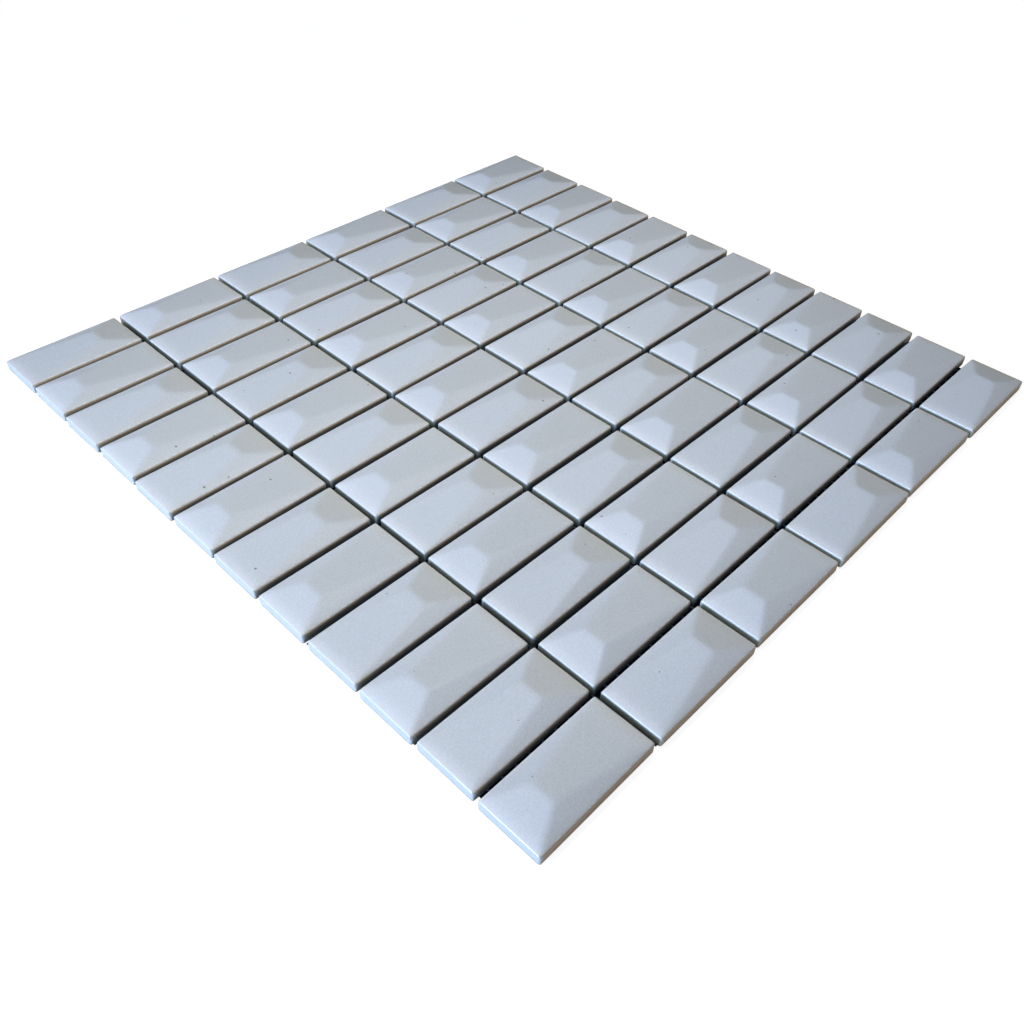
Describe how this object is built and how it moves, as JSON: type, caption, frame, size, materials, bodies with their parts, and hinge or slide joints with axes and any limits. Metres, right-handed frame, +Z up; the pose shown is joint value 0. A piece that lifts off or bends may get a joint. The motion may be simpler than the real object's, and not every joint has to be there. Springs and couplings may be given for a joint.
{
  "type": "mosaic tile sheet",
  "caption": "Square mosaic sheet of oblong glazed tiles with low off-centre hipped faces, laid in straight rows on a glass-fibre net.",
  "frame": {"origin": "middle of the sheet on the surface that it lies on, under the net", "axes": "+Z up out of the glazed faces, X along the tiles, Y across them"},
  "size_m": [0.2984, 0.2984, 0.0067],
  "materials": {
    "glazed_tile": "satin white glaze",
    "net_yarn": "dark coated glass-fibre yarn"
  },
  "bodies": {
    "root": {"tile_row_01": "glazed_tile", "tile_row_02": "glazed_tile", "tile_row_03": "glazed_tile", "tile_row_04": "glazed_tile", "tile_row_05": "glazed_tile", "tile_row_06": "glazed_tile", "tile_row_07": "glazed_tile", "tile_row_08": "glazed_tile", "tile_row_09": "glazed_tile", "tile_row_10": "glazed_tile", "tile_row_11": "glazed_tile", "tile_row_12": "glazed_tile", "net_lengthwise_yarns": "net_yarn", "net_crosswise_yarns": "net_yarn"}
  },
  "joints": []
}
